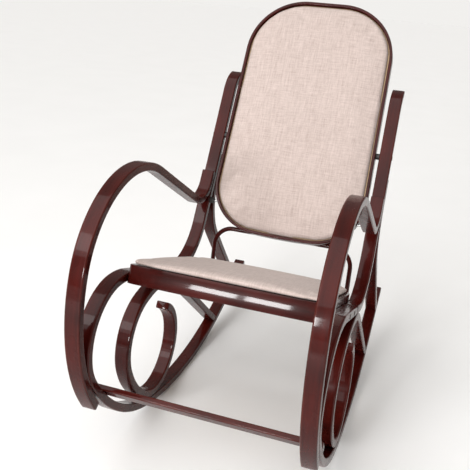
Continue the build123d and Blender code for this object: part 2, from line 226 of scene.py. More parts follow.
# ---------------------------------------------------------------- finishes


@dataclass(frozen=True)
class Lacquer:
    """Dark stained beech under a gloss lacquer, with grain and rubbed edges."""

    name: str
    pattern: Pattern
    deep: Colour = (0.010, 0.0018, 0.0014)
    warm: Colour = (0.078, 0.0065, 0.0042)
    rubbed: Colour = (0.105, 0.022, 0.014)
    rough: float = 0.19
    rough_spread: float = 0.16
    coat: float = 0.30
    coat_rough: float = 0.06
    specular: float = 0.05
    streak_scale: Point = (5.0, 70.0, 70.0)
    pore_scale: Point = (26.0, 900.0, 900.0)
    mottle_scale: Point = (9.0, 9.0, 9.0)
    haze_scale: Point = (22.0, 40.0, 40.0)
    relief_strength: float = 0.10
    relief: float = 0.0004

    def material(self) -> bpy.types.Material:
        """Build the finish.

        Returns:
            The material.
        """
        bench = Bench(self.name)
        streaks = bench.noise(bench.coordinates(self.pattern, 0.0, self.streak_scale), 5.0)
        pores = bench.noise(bench.coordinates(self.pattern, 0.0, self.pore_scale), 2.0)
        mottle = bench.noise(bench.coordinates(self.pattern, 0.0, self.mottle_scale), 3.0)
        tone = (streaks * 0.75 + mottle * 0.85 + pores * 0.2 - 0.46).clamped()
        colour = bench.blend(tone, self.deep, self.warm)
        if self.pattern is Pattern.ALONG:
            rub = bench.node("ShaderNodeAttribute", {"attribute_name": "rub"}, {}, "Fac")
            worn = (rub * (mottle * 1.6 - 0.45)).clamped() * 0.5
            colour = bench.blend(worn, colour, self.rubbed)
        haze = bench.noise(bench.coordinates(self.pattern, 0.0, self.haze_scale), 2.0)
        bench.set(
            Base_Color=colour,
            Roughness=haze * self.rough_spread + self.rough,
            Coat_Weight=self.coat,
            Coat_Roughness=self.coat_rough,
            Specular_IOR_Level=self.specular,
            Normal=bench.bump(streaks * 0.6 + pores * 0.4, self.relief_strength, self.relief),
        )
        return bench.material


@dataclass(frozen=True)
class Linen:
    """Plain-woven cloth with slubs in both directions."""

    name: str
    turn: float
    light: Colour
    dark: Colour
    thread: float = 0.00085
    slub_rough: float = 0.62
    cloud_scale: float = 11.0
    rough: float = 0.93
    sheen: float = 0.18
    sheen_rough: float = 0.55
    specular: float = 0.2
    relief: float = 0.00028

    def _at(self, bench: Bench, x: float, y: float, z: float) -> Sock:
        """Place on the cloth, in units of so many threads on each axis."""
        step = 1.0 / self.thread
        return bench.coordinates(Pattern.SPACE, self.turn, (step / x, step / y, step / z))

    def _wave(self, bench: Bench, place: Sock, axis: str) -> Sock:
        """Wave of one thread after another along an axis."""
        spread = bench.node("ShaderNodeSeparateXYZ", {}, {0: place}, axis) * (math.pi / self.thread)
        return bench.node("ShaderNodeMath", {"operation": "SINE"}, {0: spread})

    def material(self) -> bpy.types.Material:
        """Build the finish.

        Returns:
            The material.
        """
        bench = Bench(self.name)
        warp = bench.noise(self._at(bench, 3.2, 42.0, 42.0), 3.0, self.slub_rough)
        weft = bench.noise(self._at(bench, 46.0, 3.0, 46.0), 3.0, self.slub_rough)
        knots = bench.noise(self._at(bench, 4.0, 4.0, 30.0), 2.0)
        place = bench.coordinates(Pattern.SPACE, self.turn, (1.0, 1.0, 1.0))
        weave = self._wave(bench, place, "X") * self._wave(bench, place, "Y") * 0.5 + 0.5
        cloud = (self.cloud_scale, self.cloud_scale, self.cloud_scale)
        wide = bench.noise(bench.coordinates(Pattern.SPACE, self.turn, cloud), 2.0)
        shade = (warp * 1.3 + weft * 1.25 + knots * 0.4 + weave * 0.2 + wide * 0.2 - 1.08).clamped()
        bench.set(
            Base_Color=bench.blend(shade, self.dark, self.light),
            Roughness=self.rough,
            Sheen_Weight=self.sheen,
            Sheen_Roughness=self.sheen_rough,
            Specular_IOR_Level=self.specular,
            Normal=bench.bump(weave * 0.7 + warp * 0.5 + weft * 0.5, 0.5, self.relief),
        )
        return bench.material


@dataclass(frozen=True)
class Plain:
    """Even metal, plastic or bare timber with a little surface variation."""

    name: str
    low: Colour
    high: Colour
    metallic: float = 0.0
    rough: float = 0.4
    stretch: Point = (60.0, 60.0, 60.0)
    relief: float = 0.00005

    def material(self) -> bpy.types.Material:
        """Build the finish.

        Returns:
            The material.
        """
        bench = Bench(self.name)
        grain = bench.noise(bench.coordinates(Pattern.SPACE, 0.0, self.stretch), 4.0)
        bench.set(
            Base_Color=bench.blend(grain, self.low, self.high),
            Metallic=self.metallic,
            Roughness=grain * 0.2 + (self.rough - 0.1),
            Normal=bench.bump(grain, 0.2, self.relief),
        )
        return bench.material


# ---------------------------------------------------------------- layout


@dataclass(frozen=True)
class Layout:
    """Carries the flat side-view drawing, in millimetres, to the resting chair in metres."""

    tilt: float = -2.83
    centre: float = 548.45
    floor: float = -28.12

    def rest(self) -> Matrix:
        """Work out the step from the drawing to the chair.

        Returns:
            Its matrix.
        """
        turn = Matrix.Rotation(math.radians(self.tilt), 4, "X")
        stand = Matrix.Translation((0.0, -self.centre, -self.floor))
        return Matrix.Scale(MM, 4) @ stand @ turn

    def plane(self, y: float, z: float, slope: float) -> Matrix:
        """Plane of an upholstered panel in the drawing.

        Args:
            y: Side-view place of its origin, to the rear.
            z: Side-view place of its origin, up.
            slope: Turn about X in degrees.

        Returns:
            Matrix from the panel's own X, Y and outward Z to the chair.
        """
        lean = Matrix.Rotation(math.radians(slope), 4, "X")
        return self.rest() @ Matrix.Translation((0.0, y, z)) @ lean


@dataclass(frozen=True)
class FaceLine:
    """Show face of a strip in the side view: a start, a heading and its bends and straights."""

    start: State
    moves: tuple[Move, ...]

    @staticmethod
    def _follow(state: State, move: Move) -> State:
        """Make one move.

        Args:
            state: Place and heading before it.
            move: The straight or bend.

        Returns:
            Place and heading after it.
        """
        y, z, heading = state
        if len(move) == 1:
            chord, angle, turn = move[0], heading, 0.0
        else:
            radius, turn = move
            chord = 2.0 * radius * math.sin(math.radians(abs(turn)) / 2.0)
            angle = heading + turn / 2.0
        step = math.radians(angle)
        return y + chord * math.cos(step), z + chord * math.sin(step), heading + turn

    def spot(self, distance: float) -> State:
        """Walk part of the line.

        Args:
            distance: Distance from its start.

        Returns:
            Place and heading there.
        """
        state = self.start
        for move in self.moves:
            length = move[0] if len(move) == 1 else math.radians(abs(move[1])) * move[0]
            if distance <= length:
                part = (distance,) if len(move) == 1 else (move[0], move[1] * distance / length)
                return self._follow(state, part)
            state = self._follow(state, move)
            distance -= length
        return state

    def end(self) -> State:
        """Walk the whole line.

        Returns:
            Place and heading at the far end.
        """
        state = self.start
        for move in self.moves:
            state = self._follow(state, move)
        return state

    def shifted(self, offset: float) -> State:
        """Start moved sideways, positive to the left of its heading."""
        return shift_left(self.start, offset)


def shift_left(state: State, offset: float) -> State:
    """Move a side-view place to the left of its heading.

    Args:
        state: Place and heading.
        offset: Distance in millimetres.

    Returns:
        The new place with the same heading.
    """
    y, z, heading = state
    side = math.radians(heading + 90.0)
    return y + offset * math.cos(side), z + offset * math.sin(side), heading


# ---------------------------------------------------------------- mesh tools


def verts_of(geometry: Iterable[Any]) -> list[bmesh.types.BMVert]:
    """Vertices among bmesh elements."""
    return [item for item in geometry if isinstance(item, bmesh.types.BMVert)]


def edges_of(geometry: Iterable[Any]) -> list[bmesh.types.BMEdge]:
    """Edges among bmesh elements."""
    return [item for item in geometry if isinstance(item, bmesh.types.BMEdge)]


def close_ends(bm: bmesh.types.BMesh) -> list[bmesh.types.BMEdge]:
    """Fill every open rim.

    Args:
        bm: Mesh to close.

    Returns:
        The edges round the filled rims.
    """
    rims = [edge for edge in bm.edges if len(edge.link_faces) == 1]
    bmesh.ops.holes_fill(bm, edges=rims, sides=0)
    bmesh.ops.recalc_face_normals(bm, faces=bm.faces[:])
    return rims


def soften(
    bm: bmesh.types.BMesh, edges: Sequence[bmesh.types.BMEdge], radius: float, segments: int
) -> None:
    """Round some edges.

    Args:
        bm: Mesh they belong to.
        edges: Edges to round.
        radius: Reach of the rounding.
        segments: Faces across it.
    """
    bmesh.ops.bevel(
        bm,
        geom=list(edges),
        offset=radius,
        offset_type="OFFSET",
        segments=segments,
        profile=0.5,
        affect="EDGES",
        clamp_overlap=True,
        material=-1,
    )


def sharp_edges(bm: bmesh.types.BMesh) -> list[bmesh.types.BMEdge]:
    """Edges whose two faces meet at a crease."""
    shared = [edge for edge in bm.edges if len(edge.link_faces) == 2]
    return [edge for edge in shared if edge.calc_face_angle(0.0) > math.radians(CREASE)]


def link(name: str, data: Any, place: Matrix) -> bpy.types.Object:
    """Put an object in the scene.

    Args:
        name: Its name.
        data: Mesh, light or camera.
        place: Its matrix.

    Returns:
        The object.
    """
    made = bpy.data.objects.new(name, data)
    made.matrix_world = place
    bpy.context.scene.collection.objects.link(made)
    return made


def to_object(bm: bmesh.types.BMesh, name: str, place: Matrix) -> bpy.types.Object:
    """Turn a bmesh into a smooth object at the origin.

    Args:
        bm: Mesh, freed afterwards.
        name: Name of the piece.
        place: Matrix applied to the mesh.

    Returns:
        The linked object.
    """
    bmesh.ops.transform(bm, matrix=place, verts=bm.verts[:])
    bmesh.ops.recalc_face_normals(bm, faces=bm.faces[:])
    open_edges = sum(1 for edge in bm.edges if len(edge.link_faces) != 2)
    for face in bm.faces:
        face.smooth = True
    mesh = bpy.data.meshes.new(name)
    bm.to_mesh(mesh)
    bm.free()
    log.info("%s: %d faces, %d open edges", name, len(mesh.polygons), open_edges)
    return link(name, mesh, Matrix.Identity(4))


def settle(
    piece: bpy.types.Object, material: bpy.types.Material, node: str
) -> None:
    """Dress a piece and tie it to the chair.

    Args:
        piece: The finished object.
        material: Its finish.
        node: CAD node it stands for.
    """
    piece.data.materials.clear()
    piece.data.materials.append(material)
    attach(piece, "root")
    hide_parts(node)


class Carried:
    """A closed section carried along straights and bends, one ring at a time."""

    RUBBED = 1.6
    STRAIGHT_STEP = 60.0
    BEND_STEP = 9.0
    BEND_DEGREES = 5.0

    def __init__(self, origin: Vector, direction: Vector, across: Vector) -> None:
        """Stand at the start of the run.

        Args:
            origin: Centre of the section.
            direction: Way the run sets off.
            across: Direction of the section's width.
        """
        self.bm = bmesh.new()
        self.grain = self.bm.verts.layers.float_vector.new(Pattern.ALONG.value)
        self.rub = self.bm.verts.layers.float.new("rub")
        self.place = origin.copy()
        self.direction = direction.normalized()
        self.across = across.normalized()
        self.travelled = 0.0
        self.ring: list[Any] = []

    def _stand(self, face: bmesh.types.BMFace) -> None:
        """Turn the flat section to face the run and keep only its rim.

        Args:
            face: The section, drawn flat at the origin.
        """
        up = self.direction.cross(self.across)
        turn = Matrix((self.across, up, self.direction)).transposed().to_4x4()
        for vert in face.verts:
            vert[self.grain] = Vector((0.0, vert.co.x, vert.co.y)) * MM
        stand = Matrix.Translation(self.place) @ turn
        bmesh.ops.transform(self.bm, matrix=stand, verts=self.bm.verts[:])
        bmesh.ops.delete(self.bm, geom=[face], context="FACES_ONLY")
        self.ring = self.bm.verts[:] + self.bm.edges[:]

    def bar(self, width: float, thick: float, radius: float) -> None:
        """Start with a rounded rectangle.

        Args:
            width: Size across.
            thick: Size in the plane of the bends.
            radius: Rounding of its four edges.
        """
        bmesh.ops.create_grid(self.bm, x_segments=1, y_segments=1, size=0.5)
        bmesh.ops.scale(self.bm, vec=(width, thick, 1.0), verts=self.bm.verts[:])
        bmesh.ops.bevel(
            self.bm,
            geom=self.bm.verts[:],
            offset=radius,
            segments=4,
            profile=0.5,
            affect="VERTICES",
            material=-1,
        )
        for vert in self.bm.verts:
            vert[self.rub] = 1.0
        for edge in [item for item in self.bm.edges if item.calc_length() > radius * 1.5]:
            first = edge.verts[0]
            _, inner = bmesh.utils.edge_split(edge, first, self.RUBBED / edge.calc_length())
            inner[self.rub] = 0.0
            rest = max(
                (item for item in inner.link_edges if first not in item.verts),
                key=lambda item: item.calc_length(),
            )
            far = rest.other_vert(inner)
            _, outer = bmesh.utils.edge_split(rest, far, self.RUBBED / rest.calc_length())
            outer[self.rub] = 0.0
        self.bm.faces.ensure_lookup_table()
        self._stand(self.bm.faces[0])

    def rod(self, radius: float) -> None:
        """Start with a circle.

        Args:
            radius: Radius of the section.
        """
        bmesh.ops.create_circle(self.bm, cap_ends=True, segments=20, radius=radius)
        self.bm.faces.ensure_lookup_table()
        self._stand(self.bm.faces[0])

    def _mark(self, length: float) -> None:
        """Record how far the newest ring lies along the run.

        Args:
            length: Distance from the ring before it.
        """
        self.travelled += length
        for vert in verts_of(self.ring):
            old = vert[self.grain]
            vert[self.grain] = Vector((self.travelled * MM, old.y, old.z))

    def straight(self, length: float) -> None:
        """Carry the section straight on.

        Args:
            length: Length of the straight.
        """
        pieces = max(1, round(length / self.STRAIGHT_STEP))
        for _ in range(pieces):
            made = bmesh.ops.extrude_edge_only(self.bm, edges=edges_of(self.ring))["geom"]
            self.ring = verts_of(made) + self._front(verts_of(made))
            step = self.direction * (length / pieces)
            bmesh.ops.translate(self.bm, vec=step, verts=verts_of(self.ring))
            self.place += step
            self._mark(length / pieces)

    @staticmethod
    def _front(verts: Sequence[bmesh.types.BMVert]) -> list[bmesh.types.BMEdge]:
        """Edges of the newest ring."""
        held = set(verts)
        near = {edge for vert in verts for edge in vert.link_edges}
        return [edge for edge in near if set(edge.verts) <= held]

    def bend(self, radius: float, turn: float, axis: Vector = X_AXIS) -> None:
        """Carry the section round a bend.

        Args:
            radius: Radius of the section's centre.
            turn: Turn in degrees, right-handed about the axis.
            axis: Axis of the bend.
        """
        hand = 1.0 if turn > 0 else -1.0
        centre = self.place + axis.cross(self.direction) * (radius * hand)
        arc = math.radians(abs(turn)) * radius
        steps = max(3, math.ceil(max(abs(turn) / self.BEND_DEGREES, arc / self.BEND_STEP)))
        angle = math.radians(turn) / steps
        spin = Matrix.Rotation(angle, 3, axis)
        for _ in range(steps):
            made = bmesh.ops.spin(
                self.bm,
                geom=self.ring,
                cent=centre,
                axis=axis,
                angle=angle,
                steps=1,
                use_merge=False,
                use_duplicate=False,
            )["geom_last"]
            self.ring = verts_of(made) + self._front(verts_of(made))
            self.place = centre + spin @ (self.place - centre)
            self.direction = spin @ self.direction
            self._mark(abs(angle) * radius)

    def trim(self, point: Vector, normal: Vector) -> None:
        """Cut off what lies beyond a plane.

        Args:
            point: A point on the plane.
            normal: Direction of the part that goes.
        """
        whole = self.bm.verts[:] + self.bm.edges[:] + self.bm.faces[:]
        bmesh.ops.bisect_plane(
            self.bm, geom=whole, plane_co=point, plane_no=normal, clear_outer=True
        )

    def finish(self, name: str, place: Matrix, end_radius: float) -> bpy.types.Object:
        """Close and round both ends and make the object.

        Args:
            name: Name of the piece.
            place: Matrix from the drawing to the chair.
            end_radius: Rounding of the ends.

        Returns:
            The piece.
        """
        rims = close_ends(self.bm)
        soften(self.bm, rims, end_radius, 2)
        return to_object(self.bm, name, place)


# ---------------------------------------------------------------- side frames


@dataclass
class SideFrame:
    """One bentwood side frame: five bent strips, all of one section."""

    name: str
    across: float
    layout: Layout
    width: float = 33.0
    thick: float = 18.5
    edge: float = 3.0
    main: FaceLine = field(
        default_factory=lambda: FaceLine(
            (863.6, 812.4, 190.8),
            (
                (81.1, 53.6),
                (385.5,),
                (148.9, -81.1),
                (238.0,),
                (212.3, 20.2),
                (130.0, 120.5),
                (474.5, 44.9),
                (888.8, 32.9),
                (226.4,),
            ),
        )
    )
    joint: float = 70.0
    arm_start: State = (76.4, 155.9, 127.9)
    arm_sweep: tuple[Move, ...] = ((367.7, -52.3), (231.6, -37.1), (235.4, -65.2))
    heel_radius: float = 60.0
    heel_run: float = 27.0
    scroll_touch: State = (445.6, 327.3, 163.3)
    scroll_front: tuple[Move, ...] = (
        (253.0, 35.1),
        (120.9, 95.9),
        (246.1, 34.8),
        (117.4, 186.1),
    )
    scroll_rear: tuple[float, float, float] = (404.0, 150.0, 20.2)
    leg_top: float = 196.0
    leg_moves: tuple[Move, ...] = ((60.0,), (168.0, 70.6), (324.0,))
    scroll_foot: float = 2079.0
    leg_foot: float = 2264.0
    end_radius: float = 1.1

    def _strip(
        self,
        label: str,
        line: FaceLine,
        side: int,
        trim: Optional[float] = None,
    ) -> bpy.types.Object:
        """Bend one strip.

        Args:
            label: Name of the strip.
            line: Its show face.
            side: 1 when its body lies to the left of the line, -1 to the right.
            trim: Distance along the main line where its foot is cut to the rocker's top.

        Returns:
            The strip.
        """
        offset = side * self.thick / 2.0
        y, z, heading = line.shifted(offset)
        way = math.radians(heading)
        ahead = Vector((0.0, math.cos(way), math.sin(way)))
        run = Carried(Vector((self.across, y, z)), ahead, X_AXIS)
        run.bar(self.width, self.thick, self.edge)
        for move in line.moves:
            if len(move) == 1:
                run.straight(move[0])
            else:
                run.bend(move[0] - offset if move[1] > 0 else move[0] + offset, move[1])
        if trim is not None:
            y, z, heading = shift_left(self.main.spot(trim), self.thick)
            down = math.radians(heading - 90.0)
            run.trim(Vector((0.0, y, z)), Vector((0.0, math.cos(down), math.sin(down))))
        return run.finish(f"{self.name}_{label}", self.layout.rest(), self.end_radius)

    def arm_line(self) -> FaceLine:
        """Work out the arm with the heel that brings its end flat against the upright.

        Returns:
            The arm's show face.
        """
        y, z, heading = FaceLine(self.arm_start, self.arm_sweep).end()
        post = FaceLine(self.main.start, self.main.moves[:2]).end()
        post_y, post_z, post_heading = shift_left(post, -self.thick)
        along = Vector((math.cos(math.radians(heading)), math.sin(math.radians(heading))))
        up = Vector((math.cos(math.radians(post_heading)), math.sin(math.radians(post_heading))))
        gap = Vector((post_y - y, post_z - z))
        reach = (gap.x * up.y - gap.y * up.x) / (along.x * up.y - along.y * up.x)
        turn = post_heading - 180.0 - heading
        reach -= self.heel_radius * math.tan(math.radians(turn) / 2.0)
        heel = ((reach,), (self.heel_radius, turn), (self.heel_run,))
        return FaceLine(self.arm_start, self.arm_sweep + heel)

    def scroll_line(self) -> FaceLine:
        """Work out the scroll from its foot on the rocker's tail to the end of the spiral.

        Returns:
            The scroll's show face.
        """
        run, radius, turn = self.scroll_rear
        y, z, heading = self.scroll_touch
        chord = 2.0 * radius * math.sin(math.radians(turn / 2.0))
        angle = math.radians(heading - turn / 2.0)
        y, z = y - chord * math.cos(angle), z - chord * math.sin(angle)
        heading -= turn
        angle = math.radians(heading)
        start = (y - run * math.cos(angle), z - run * math.sin(angle), heading)
        return FaceLine(start, ((run,), (radius, turn)) + self.scroll_front)

    def leg_line(self) -> FaceLine:
        """Work out the rear leg from behind the upright down to the tail.

        Returns:
            The leg's show face.
        """
        y, z, heading = FaceLine(self.main.start, self.main.moves[:2]).end()
        way = math.radians(heading)
        top = (y - self.leg_top * math.cos(way), z - self.leg_top * math.sin(way), heading)
        return FaceLine(shift_left(top, self.thick), self.leg_moves)

    def build(self, material: bpy.types.Material) -> None:
        """Bend and dress the five strips.

        Args:
            material: Finish of the strips.
        """
        upright = FaceLine(self.main.start, self.main.moves[:3] + ((self.joint,),))
        beyond = (self.main.moves[3][0] - self.joint,)
        rocker = FaceLine(upright.end(), (beyond,) + self.main.moves[4:])
        strips = {
            "arm_strip": self._strip("arm", self.arm_line(), -1),
            "upright_strip": self._strip("upright", upright, 1),
            "rocker_strip": self._strip("rocker", rocker, 1),
            "scroll_strip": self._strip("scroll", self.scroll_line(), 1, self.scroll_foot),
            "rear_leg_strip": self._strip("rear_leg", self.leg_line(), 1, self.leg_foot),
        }
        for node, piece in strips.items():
            settle(piece, material, f"{self.name}_{node}")


# ---------------------------------------------------------------- panels


def inset_rim(
    bm: bmesh.types.BMesh, face: bmesh.types.BMFace, width: float
) -> list[bmesh.types.BMFace]:
    """Inset a face by an even width.

    Args:
        bm: Mesh it belongs to.
        face: Face to inset.
        width: Width of the new rim.

    Returns:
        The faces of the rim.
    """
    return bmesh.ops.inset_region(
        bm, faces=[face], thickness=width, use_boundary=True, use_even_offset=True
    )["faces"]


@dataclass(frozen=True)
class Corner:
    """One corner of a panel's outline and how far its rounding reaches."""

    x: float
    y: float
    reach: float
    segments: int


@dataclass(frozen=True)
class Outline:
    """Closed outline of a panel, corner by corner."""

    corners: tuple[Corner, ...]

    def face(self, bm: bmesh.types.BMesh, inset: float) -> bmesh.types.BMFace:
        """Draw the outline as one face.

        Args:
            bm: Mesh to draw in.
            inset: Distance inside the outline.

        Returns:
            The face.
        """
        verts = [bm.verts.new((corner.x, corner.y, 0.0)) for corner in self.corners]
        bm.faces.new(verts)
        for vert, corner in zip(verts, self.corners):
            bmesh.ops.bevel(
                bm,
                geom=[vert],
                offset=corner.reach,
                segments=corner.segments,
                profile=0.5,
                affect="VERTICES",
                material=-1,
            )
        bm.faces.ensure_lookup_table()
        face = bm.faces[0]
        if inset > 0:
            bmesh.ops.delete(bm, geom=inset_rim(bm, face, inset), context="FACES")
            bm.faces.ensure_lookup_table()
            face = bm.faces[0]
        return face


SEAT_OUTLINE = Outline(
    (
        Corner(-217.0, 0.0, 16.0, 6),
        Corner(0.0, -13.3, 190.0, 16),
        Corner(217.0, 0.0, 16.0, 6),
        Corner(217.0, 396.0, 78.0, 16),
        Corner(0.0, 404.6, 130.0, 12),
        Corner(-217.0, 396.0, 78.0, 16),
    )
)
BACK_OUTLINE = Outline(
    (
        Corner(-209.4, -4.0, 126.0, 22),
        Corner(0.0, -17.3, 78.0, 8),
        Corner(209.4, -4.0, 126.0, 22),
        Corner(204.4, 666.0, 155.0, 26),
        Corner(-204.4, 666.0, 155.0, 26),
    )
)


@dataclass
class Hoop:
    """Bent timber hoop that edges a panel."""

    name: str
    outline: Outline
    place: Matrix
    low: float
    high: float
    wall: float
    edge: float

    def build(self, material: bpy.types.Material, node: str) -> None:
        """Model the hoop and dress it.

        Args:
            material: Its finish.
            node: CAD node it stands for.
        """
        bm = bmesh.new()
        rim = set(inset_rim(bm, self.outline.face(bm, 0.0), self.wall))
        middle = [face for face in bm.faces if face not in rim]
        bmesh.ops.delete(bm, geom=middle, context="FACES")
        bmesh.ops.translate(bm, vec=(0.0, 0.0, self.low), verts=bm.verts[:])
        bmesh.ops.solidify(bm, geom=bm.faces[:], thickness=self.low - self.high)
        soften(bm, sharp_edges(bm), self.edge, 3)
        settle(to_object(bm, self.name, self.place), material, node)


@dataclass
class Cushion:
    """Upholstered pad: a crowned closed form, swollen as cloth over its filling."""

    name: str
    outline: Outline
    place: Matrix
    inset: float
    base: float
    edge_height: float
    crown: float
    voxel: float
    swell: float
    fill: float = 0.9
    shoulder: float = 0.55
    held_share: float = 0.3
    side_power: float = 3.0
    dome_power: float = 0.62
    pressure: float = 4.0
    frames: int = 20

    def _blank(self) -> bpy.types.Object:
        """Model a flat slab in the panel's own plane, in metres.

        Returns:
            The slab.
        """
        bm = bmesh.new()
        face = self.outline.face(bm, self.inset)
        bmesh.ops.translate(bm, vec=(0.0, 0.0, self.base), verts=bm.verts[:])
        raised = bmesh.ops.extrude_face_region(bm, geom=[face])["geom"]
        bmesh.ops.translate(bm, vec=(0.0, 0.0, self.edge_height), verts=verts_of(raised))
        low = self.base + 1e-4
        rim = [edge for edge in sharp_edges(bm) if all(v.co.z > low for v in edge.verts)]
        soften(bm, rim, self.edge_height * self.shoulder, 4)
        return to_object(bm, self.name, Matrix.Scale(MM, 4))

    def _remeshed(self, piece: bpy.types.Object) -> None:
        """Even out the mesh.

        Args:
            piece: The cushion.
        """
        modifier = piece.modifiers.new("Even", "REMESH")
        modifier.mode = "VOXEL"
        modifier.voxel_size = self.voxel
        self._apply(piece)

    @staticmethod
    def _apply(piece: bpy.types.Object) -> None:
        """Replace the mesh by its evaluated form.

        Args:
            piece: The cushion.
        """
        graph = bpy.context.evaluated_depsgraph_get()
        shaped = bpy.data.meshes.new_from_object(piece.evaluated_get(graph))
        old = piece.data
        piece.modifiers.clear()
        piece.data = shaped
        bpy.data.meshes.remove(old)

    def _crowned(self, piece: bpy.types.Object) -> None:
        """Raise the top in a low dome that falls away near the sides.

        Args:
            piece: The cushion.
        """
        xs = [vert.co.x for vert in piece.data.vertices]
        ys = [vert.co.y for vert in piece.data.vertices]
        half = Vector(((max(xs) - min(xs)) / 2.0, (max(ys) - min(ys)) / 2.0))
        middle = Vector(((max(xs) + min(xs)) / 2.0, (max(ys) + min(ys)) / 2.0))
        floor = self.base * MM
        full = self.edge_height * MM
        for vert in piece.data.vertices:
            u = min(1.0, abs(vert.co.x - middle.x) / half.x)
            v = min(1.0, abs(vert.co.y - middle.y) / half.y)
            lift = (1.0 - u**self.side_power) * (1.0 - v**self.side_power)
            share = max(0.0, (vert.co.z - floor) / full)
            vert.co.z += share * self.crown * MM * lift**self.dome_power

    def _swollen(self, piece: bpy.types.Object) -> None:
        """Let the cover swell over the filling, held at its base.

        Args:
            piece: The cushion.
        """
        held = piece.vertex_groups.new(name="held")
        limit = (self.base + self.edge_height * self.held_share) * MM
        low = [vert.index for vert in piece.data.vertices if vert.co.z < limit]
        held.add(low, 1.0, "REPLACE")
        before = [vert.co.copy() for vert in piece.data.vertices]
        cloth = piece.modifiers.new("Cover", "CLOTH")
        cloth.settings.use_pressure = True
        cloth.settings.uniform_pressure_force = self.pressure
        cloth.settings.effector_weights.gravity = 0.0
        cloth.settings.vertex_group_mass = "held"
        cloth.point_cache.frame_start = 1
        cloth.point_cache.frame_end = self.frames
        scene = bpy.context.scene
        for step in range(1, self.frames + 1):
            scene.frame_set(step)
        self._apply(piece)
        scene.frame_set(1)
        for vert, old in zip(piece.data.vertices, before):
            move = vert.co - old
            if move.length > self.swell * MM:
                vert.co = old + move.normalized() * self.swell * MM
            vert.co.z = max(vert.co.z, self.base * MM)

    @staticmethod
    def _smoothed(piece: bpy.types.Object, rounds: int) -> None:
        """Relax the mesh's small steps.

        Args:
            piece: The cushion.
            rounds: How many times.
        """
        bm = bmesh.new()
        bm.from_mesh(piece.data)
        axes = {"use_axis_x": True, "use_axis_y": True, "use_axis_z": True}
        for _ in range(rounds):
            bmesh.ops.smooth_vert(bm, verts=bm.verts[:], factor=0.5, **axes)
        bm.to_mesh(piece.data)
        bm.free()

    def build(self, material: bpy.types.Material, slot: str, node: str) -> None:
        """Model the cushion and dress it.

        Args:
            material: Its finish.
            slot: Material slot of the record; not used.
            node: CAD node it stands for.
        """
        piece = self._blank()
        self._remeshed(piece)
        self._smoothed(piece, 3)
        self._crowned(piece)
        if self.swell > 0.0:
            self._swollen(piece)
            self._smoothed(piece, 2)
        divide = piece.modifiers.new("Fine", "SUBSURF")
        divide.levels = 1
        divide.render_levels = 1
        self._apply(piece)
        piece.data.transform(self.place @ Matrix.Scale(1.0 / MM, 4))
        for polygon in piece.data.polygons:
            polygon.use_smooth = True
        settle(piece, material, node)
        log.info("%s: %d faces", self.name, len(piece.data.polygons))


@dataclass
class FlatCloth:
    """Thin cloth panel stretched inside the back rim."""

    name: str
    outline: Outline
    place: Matrix
    inset: float
    low: float
    high: float

    def build(self, material: bpy.types.Material, slot: str, node: str) -> None:
        """Model the panel and dress it.

        Args:
            material: Its finish.
            slot: Material slot of the record; not used.
            node: CAD node it stands for.
        """
        bm = bmesh.new()
        face = self.outline.face(bm, self.inset)
        bmesh.ops.translate(bm, vec=(0.0, 0.0, self.high), verts=bm.verts[:])
        raised = bmesh.ops.extrude_face_region(bm, geom=[face])["geom"]
        bmesh.ops.translate(bm, vec=(0.0, 0.0, self.low - self.high), verts=verts_of(raised))
        soften(bm, sharp_edges(bm), 1.0, 2)
        settle(to_object(bm, self.name, self.place), material, node)


# ---------------------------------------------------------------- rails across


@dataclass
class Stretcher:
    """Flat bar between the two front arcs."""

    layout: Layout
    line: FaceLine
    strip_thick: float
    distance: float = 1325.0
    length: float = 500.0
    wide: float = 32.0
    thick: float = 12.0
    sunk: float = 0.6

    def build(self, material: bpy.types.Material) -> None:
        """Model and dress the bar.

        Args:
            material: Its finish.
        """
        inward = self.strip_thick + self.thick / 2.0 - self.sunk
        y, z, heading = shift_left(self.line.spot(self.distance), inward)
        way = math.radians(heading)
        tangent = Vector((0.0, math.cos(way), math.sin(way)))
        run = Carried(Vector((-self.length / 2.0, y, z)), X_AXIS, tangent)
        run.bar(self.wide, self.thick, 3.0)
        run.straight(self.length)
        piece = run.finish("front_stretcher_bar", self.layout.rest(), 1.2)
        settle(piece, material, "front_stretcher")


@dataclass
class BackBrace:
    """Bent rod that ties the rear of the seat to the foot of the back panel."""

    layout: Layout
    seat: Matrix
    back: Matrix
    radius: float = 6.0
    half: float = 190.0
    corner: float = 50.0
    heel_bend: float = 30.0
    foot_at: float = 330.0
    heel_at: float = 496.0
    top_at: float = -5.5
    under_seat: float = -40.0
    behind_back: float = -34.0

    def build(self, material: bpy.types.Material) -> None:
        """Bend and dress the rod.

        Args:
            material: Its finish.
        """
        lift = self.layout.rest().inverted()
        low = self.under_seat - self.radius
        foot = lift @ (self.seat @ Vector((-self.half, self.foot_at, low)))
        heel = lift @ (self.seat @ Vector((-self.half, self.heel_at, low)))
        behind = self.behind_back - self.radius
        top = lift @ (self.back @ Vector((-self.half, self.top_at, behind)))
        rear = (heel - foot).normalized()
        rise = (top - heel).normalized()
        turn = math.degrees(rear.angle(rise))
        reach = self.heel_bend * math.tan(math.radians(turn) / 2.0)
        side = rise.cross(X_AXIS)
        run = Carried(foot, rear, X_AXIS)
        run.rod(self.radius)
        run.straight((heel - foot).length - reach)
        run.bend(self.heel_bend, turn)
        run.straight((top - heel).length - reach - self.corner)
        run.bend(self.corner, 90.0, side)
        run.straight(2.0 * (self.half - self.corner))
        run.bend(self.corner, 90.0, side)
        run.straight((top - heel).length - reach - self.corner)
        run.bend(self.heel_bend, -turn)
        run.straight((heel - foot).length - reach)
        piece = run.finish("seat_brace_rod", self.layout.rest(), 1.5)
        settle(piece, material, "seat_brace")


